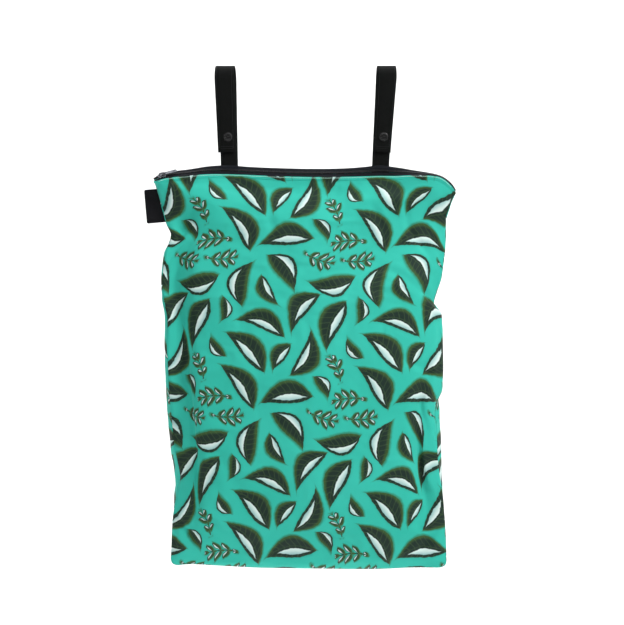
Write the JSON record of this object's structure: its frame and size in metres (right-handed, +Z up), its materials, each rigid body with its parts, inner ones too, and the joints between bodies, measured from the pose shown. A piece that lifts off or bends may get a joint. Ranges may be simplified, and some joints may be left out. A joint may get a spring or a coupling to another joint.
{
  "type": "hanging cloth diaper wet bag",
  "caption": "Soft zip-top cloth bag with a leaf print, lightly filled, hanging from a rail by two strap loops that close with press snaps.",
  "frame": {"origin": "on the line that the two strap loops hang from, midway between the loops", "axes": "+X along that line to the right as the picture shows it, +Y to the back of the bag, +Z up"},
  "size_m": [0.4361, 0.0868, 0.7058],
  "materials": {
    "print_cloth": "smooth coated knit, turquoise with a dark leaf print",
    "webbing": "black cloth strap with edge stitching",
    "zipper_tape": "black woven tape",
    "zipper_coil": "black nylon coil",
    "slider_metal": "black lacquered metal, satin",
    "snap": "black moulded plastic, glossy",
    "label": "black woven label, bare"
  },
  "bodies": {
    "bag": {"front_panel_top": "print_cloth", "front_panel_middle": "print_cloth", "front_panel_bottom": "print_cloth", "back_panel_top": "print_cloth", "back_panel_middle": "print_cloth", "back_panel_bottom": "print_cloth", "zipper_tape_upper": "zipper_tape", "zipper_tape_lower": "zipper_tape", "zipper_coil": "zipper_coil", "slider_body": "slider_metal", "strap_left": "webbing", "snap_cap_front_left": "snap", "snap_socket_left": "snap", "snap_stud_left": "snap", "snap_cap_back_left": "snap", "strap_right": "webbing", "snap_cap_front_right": "snap", "snap_socket_right": "snap", "snap_stud_right": "snap", "snap_cap_back_right": "snap", "side_label": "label"},
    "pull": {"pull_tab": "slider_metal"}
  },
  "joints": [
    {"name": "pull_flip", "type": "hinge", "parent": "bag", "child": "pull", "pos_m": [-0.20011, -0.01086, -0.13826], "axis": [0.1601, -0.8203, -0.5491], "range_deg": [0, 160]}
  ]
}
